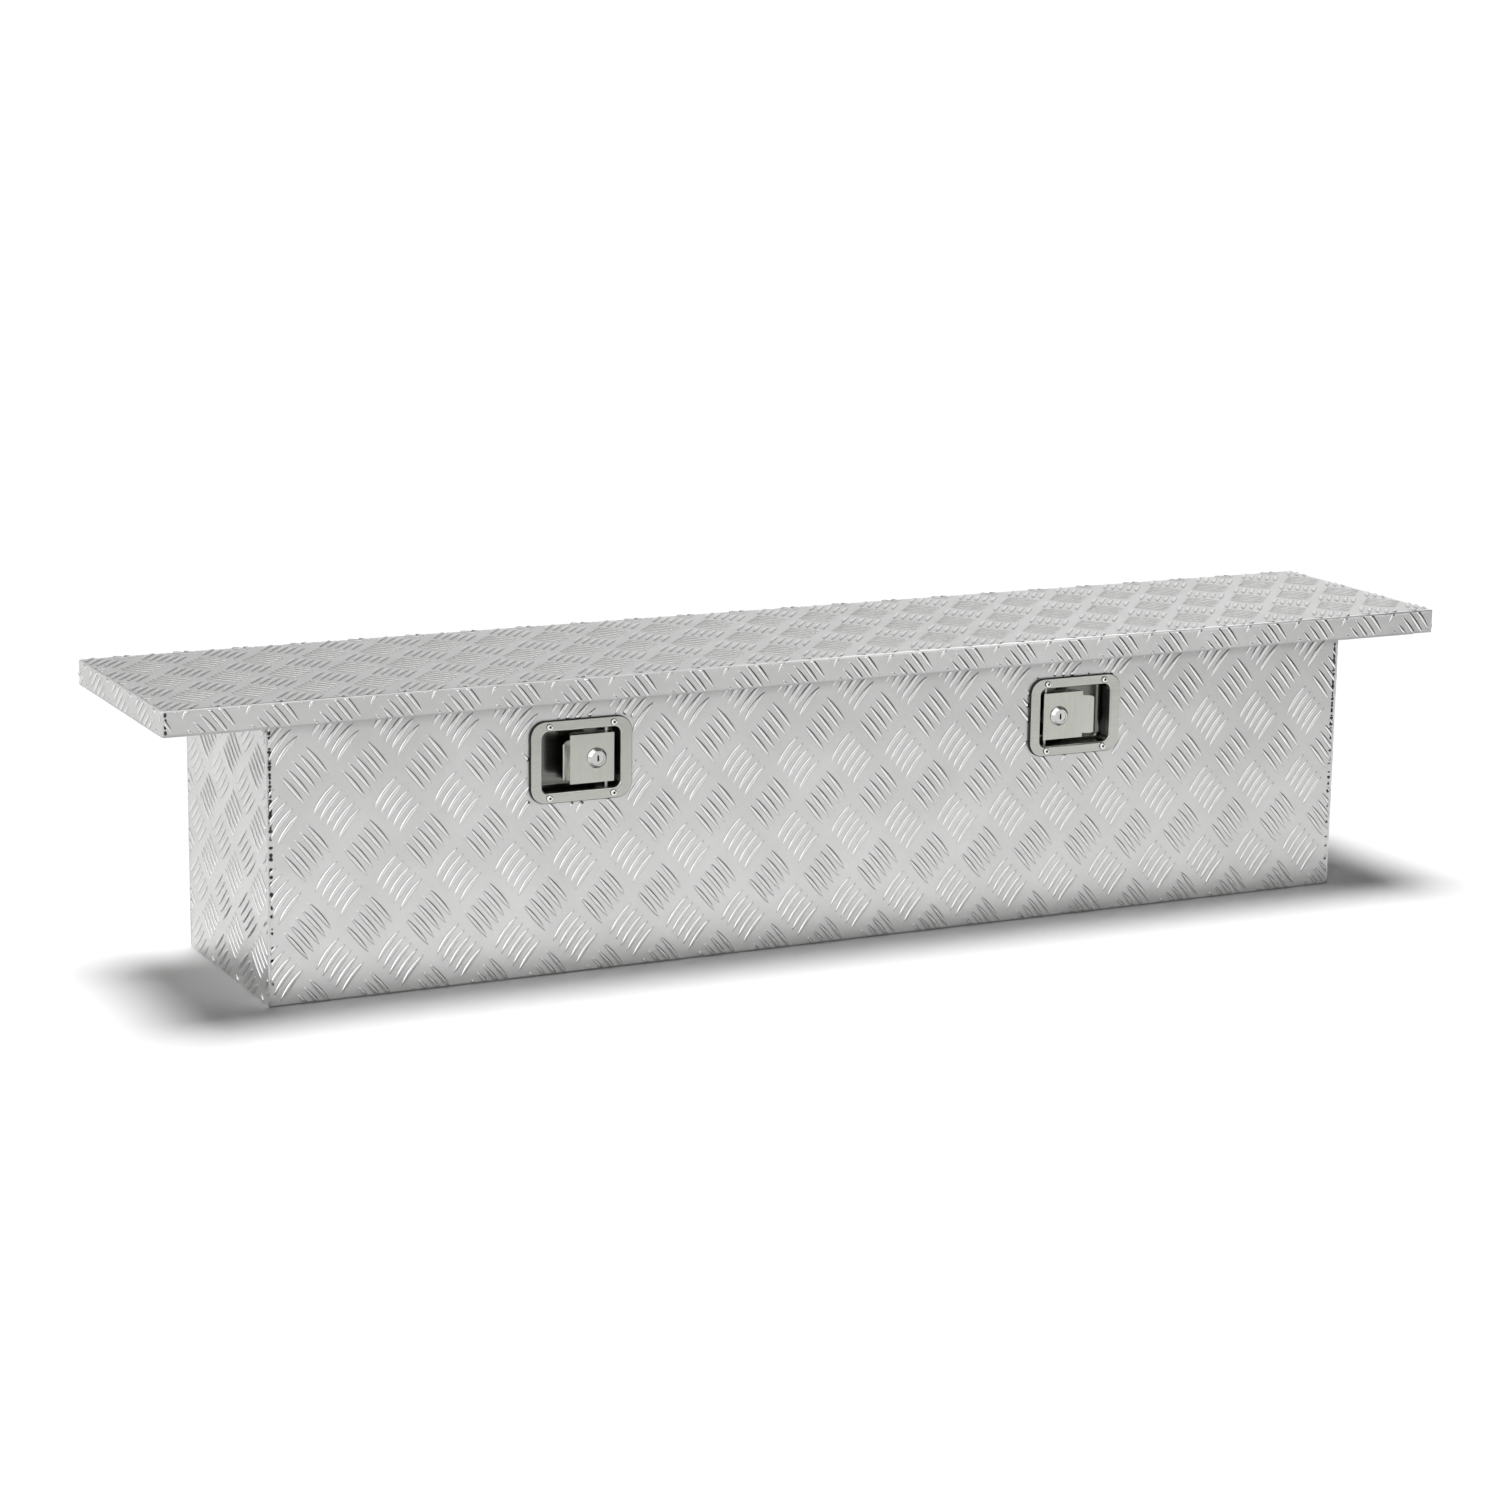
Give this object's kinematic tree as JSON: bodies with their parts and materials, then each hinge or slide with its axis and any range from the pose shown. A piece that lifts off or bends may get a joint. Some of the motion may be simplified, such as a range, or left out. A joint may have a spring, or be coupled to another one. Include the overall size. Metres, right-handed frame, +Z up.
{
  "type": "truck tool box",
  "caption": "Low profile crossover truck tool box with one hinged lid, wings that rest on the bed rails and two recessed paddle latches with locks.",
  "frame": {"origin": "centre of the lid's footprint at the level of the body's floor", "axes": "+X along the box to its right-hand end, the latches face -Y, +Z up"},
  "size_m": [1.778, 0.34, 0.376],
  "materials": {
    "sheet_aluminium": "bright mill-finish tread plate",
    "bright_steel": "brushed stainless",
    "zinc_steel": "zinc plated",
    "chrome": "polished",
    "black_steel": "satin black",
    "seal_rubber": "matt black"
  },
  "bodies": {
    "body": {"body_wrap": "sheet_aluminium", "rim_seal": "seal_rubber", "hinge_body_leaf": "bright_steel", "hinge_pin": "bright_steel", "hinge_rivets_body": "bright_steel", "end_panel_left": "sheet_aluminium", "strut_foot_bracket_left": "zinc_steel", "latch_gasket_left": "seal_rubber", "latch_dish_left": "bright_steel", "latch_screws_left": "zinc_steel", "latch_nuts_left": "zinc_steel", "latch_pivot_left": "bright_steel", "latch_return_spring_left": "bright_steel", "bolt_guide_left": "zinc_steel", "end_panel_right": "sheet_aluminium", "strut_foot_bracket_right": "zinc_steel", "latch_gasket_right": "seal_rubber", "latch_dish_right": "bright_steel", "latch_screws_right": "zinc_steel", "latch_nuts_right": "zinc_steel", "latch_pivot_right": "bright_steel", "latch_return_spring_right": "bright_steel", "bolt_guide_right": "zinc_steel"},
    "lid": {"lid_skin": "sheet_aluminium", "lid_stiffener": "sheet_aluminium", "hinge_lid_leaf": "bright_steel", "hinge_rivets_lid": "bright_steel", "striker_left": "zinc_steel", "strut_head_bracket_left": "zinc_steel", "striker_right": "zinc_steel", "strut_head_bracket_right": "zinc_steel"},
    "strut_cylinder_left": {"strut_tube_left": "black_steel", "strut_tube_end_left": "zinc_steel"},
    "strut_piston_left": {"strut_rod_left": "bright_steel", "strut_rod_end_left": "zinc_steel", "strut_stud_left": "zinc_steel"},
    "paddle_left": {"latch_paddle_left": "bright_steel", "lock_barrel_left": "chrome", "lock_nut_left": "zinc_steel"},
    "plug_left": {"lock_plug_left": "chrome", "lock_cam_left": "zinc_steel"},
    "carrier_left": {"bolt_carrier_left": "zinc_steel", "bolt_spring_left": "bright_steel"},
    "bolt_left": {"latch_bolt_left": "zinc_steel"},
    "strut_cylinder_right": {"strut_tube_right": "black_steel", "strut_tube_end_right": "zinc_steel"},
    "strut_piston_right": {"strut_rod_right": "bright_steel", "strut_rod_end_right": "zinc_steel", "strut_stud_right": "zinc_steel"},
    "paddle_right": {"latch_paddle_right": "bright_steel", "lock_barrel_right": "chrome", "lock_nut_right": "zinc_steel"},
    "plug_right": {"lock_plug_right": "chrome", "lock_cam_right": "zinc_steel"},
    "carrier_right": {"bolt_carrier_right": "zinc_steel", "bolt_spring_right": "bright_steel"},
    "bolt_right": {"latch_bolt_right": "zinc_steel"}
  },
  "joints": [
    {"name": "lid_hinge", "type": "hinge", "parent": "body", "child": "lid", "pos_m": [0, 0.1659, 0.341], "axis": [-1, 0, 0], "range_deg": [0, 65]},
    {"name": "strut_tilt_left", "type": "hinge", "parent": "body", "child": "strut_cylinder_left", "pos_m": [-0.735, -0.1, 0.235], "axis": [1, 0, 0], "range_deg": [0, 3.49]},
    {"name": "strut_slide_left", "type": "slide", "parent": "strut_cylinder_left", "child": "strut_piston_left", "axis": [0, 0.8826, 0.4701], "range_m": [0, 0.05211]},
    {"name": "paddle_hinge_left", "type": "hinge", "parent": "body", "child": "paddle_left", "pos_m": [-0.3165, -0.133, 0.2686], "axis": [0, 0, 1], "range_deg": [0, 45], "stiffness_Nm_per_rad": 0.3, "springref_deg": -22.92, "deforming": ["latch_return_spring_left"]},
    {"name": "carrier_slide_left", "type": "slide", "parent": "body", "child": "carrier_left", "axis": [-1, 0, 0], "range_m": [0, 0.01702]},
    {"name": "bolt_throw_left", "type": "slide", "parent": "carrier_left", "child": "bolt_left", "axis": [1, 0, 0], "range_m": [0, 0.012], "deforming": ["bolt_spring_left"]},
    {"name": "lock_turn_left", "type": "hinge", "parent": "paddle_left", "child": "plug_left", "pos_m": [-0.3325, -0.1418, 0.2686], "axis": [0, -1, 0], "range_deg": [0, 90]},
    {"name": "strut_tilt_right", "type": "hinge", "parent": "body", "child": "strut_cylinder_right", "pos_m": [0.735, -0.1, 0.235], "axis": [1, 0, 0], "range_deg": [0, 3.49]},
    {"name": "strut_slide_right", "type": "slide", "parent": "strut_cylinder_right", "child": "strut_piston_right", "axis": [0, 0.8826, 0.4701], "range_m": [0, 0.05211]},
    {"name": "paddle_hinge_right", "type": "hinge", "parent": "body", "child": "paddle_right", "pos_m": [0.3065, -0.133, 0.2686], "axis": [0, 0, -1], "range_deg": [0, 45], "stiffness_Nm_per_rad": 0.3, "springref_deg": -22.92, "deforming": ["latch_return_spring_right"]},
    {"name": "carrier_slide_right", "type": "slide", "parent": "body", "child": "carrier_right", "axis": [1, 0, 0], "range_m": [0, 0.01702]},
    {"name": "bolt_throw_right", "type": "slide", "parent": "carrier_right", "child": "bolt_right", "axis": [-1, 0, 0], "range_m": [0, 0.012], "deforming": ["bolt_spring_right"]},
    {"name": "lock_turn_right", "type": "hinge", "parent": "paddle_right", "child": "plug_right", "pos_m": [0.3225, -0.1418, 0.2686], "axis": [0, 1, 0], "range_deg": [0, 90]}
  ],
  "couplings": [
    {"joint": "strut_tilt_left", "follows": "lid_hinge", "ratio": 0.053516},
    {"joint": "strut_slide_left", "follows": "lid_hinge", "m_per_rad": 0.045913},
    {"joint": "carrier_slide_left", "follows": "paddle_hinge_left", "m_per_rad": 0.021645},
    {"joint": "strut_tilt_right", "follows": "lid_hinge", "ratio": 0.053516},
    {"joint": "strut_slide_right", "follows": "lid_hinge", "m_per_rad": 0.045913},
    {"joint": "carrier_slide_right", "follows": "paddle_hinge_right", "m_per_rad": 0.021645}
  ]
}
